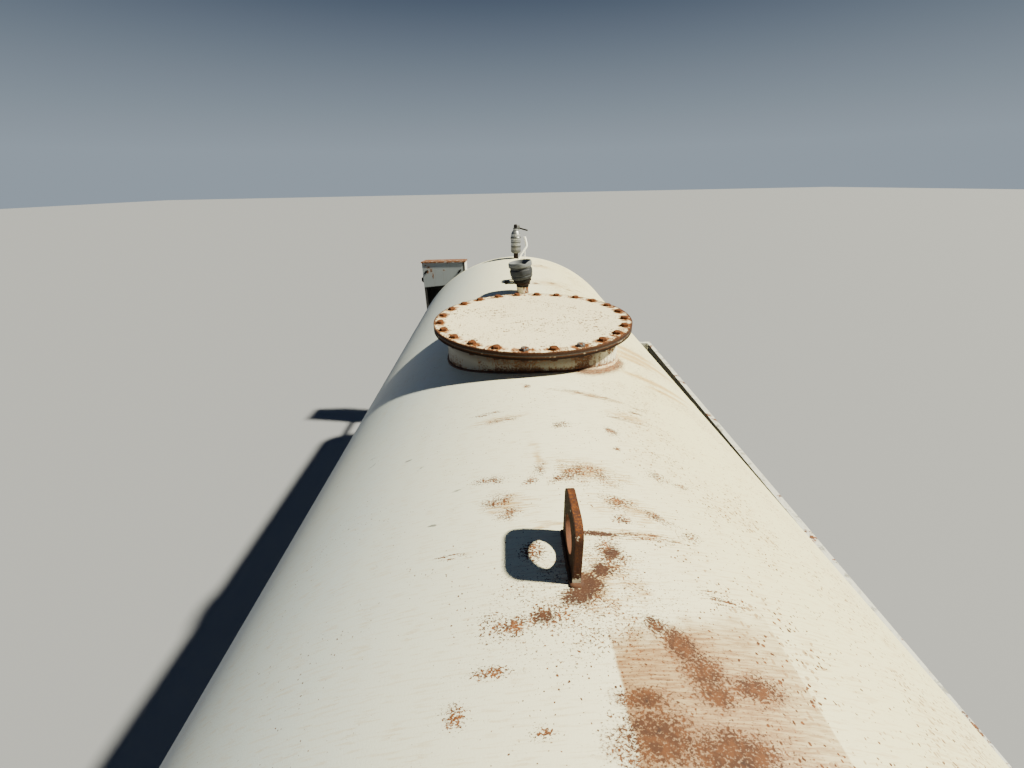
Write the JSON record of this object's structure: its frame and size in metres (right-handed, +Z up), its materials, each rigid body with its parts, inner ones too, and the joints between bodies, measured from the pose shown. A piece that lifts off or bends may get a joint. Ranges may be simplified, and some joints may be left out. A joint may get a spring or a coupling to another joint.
{
  "type": "horizontal pressure tank",
  "caption": "Horizontal cylindrical storage tank with dished ends on two saddles, with bolted manway, lifting lugs, top fittings, side hose tray and side cabinet.",
  "frame": {"origin": "middle of the near saddle foot's underside, on the ground under the shell's axis", "axes": "+Y along the shell towards the relief valve and the cabinet, +Z up, +X towards the hose tray"},
  "size_m": [2.003, 4.7916, 2.08],
  "materials": {
    "shell_paint": "weathered cream paint with rust specks",
    "cover_paint": "weathered cream paint, rusted at the rim",
    "neck_paint": "cream paint with heavy rust specks",
    "saddle_paint": "weathered cream paint with rusty edges",
    "rusted_steel": "rusted steel with worn paint",
    "lug_rust": "rusted steel with worn paint",
    "pipe_paint": "cream paint, half worn off over rust",
    "gasket_rubber": "matte, aged",
    "dull_metal": "dull dark grey metal",
    "black_fitting": "matte black",
    "grey_cup": "matte grey, weathered",
    "dull_silver": "dull cast metal",
    "white_tube": "satin white",
    "tray_paint": "grey paint outside, blackened inside",
    "cabinet_dark": "black paint, dusty",
    "cabinet_paint": "dark inside and at its front edges, light grey outside",
    "cabinet_grey": "light grey paint with rust patches",
    "cabinet_rust": "rusted sheet"
  },
  "bodies": {
    "root": {"near_end_course": "shell_paint", "near_course": "shell_paint", "far_course": "shell_paint", "far_end_course": "shell_paint", "near_head": "shell_paint", "far_head": "shell_paint", "manway_neck": "neck_paint", "manway_flange": "rusted_steel", "manway_gasket": "gasket_rubber", "manway_cover": "cover_paint", "near_lug": "lug_rust", "far_lug": "lug_rust", "near_saddle_foot": "saddle_paint", "near_saddle_web": "saddle_paint", "near_saddle_ribs": "saddle_paint", "near_wear_plate": "saddle_paint", "far_saddle_foot": "saddle_paint", "far_saddle_web": "saddle_paint", "far_saddle_ribs": "saddle_paint", "far_wear_plate": "saddle_paint", "fill_pipe": "pipe_paint", "fill_collar": "black_fitting", "fill_coupling": "dull_metal", "fill_lever": "black_fitting", "cup_ring": "black_fitting", "fill_cup": "grey_cup", "relief_pipe": "dull_metal", "relief_body": "dull_silver", "relief_cap": "black_fitting", "relief_lever": "black_fitting", "drip_tube": "white_tube", "hose_tray": "tray_paint", "tray_brackets": "tray_paint", "cabinet_box": "cabinet_paint", "cabinet_panel": "cabinet_grey", "panel_handles": "black_fitting", "cabinet_roof": "cabinet_rust", "cabinet_latch": "black_fitting", "cabinet_arms": "cabinet_dark"}
  },
  "joints": []
}
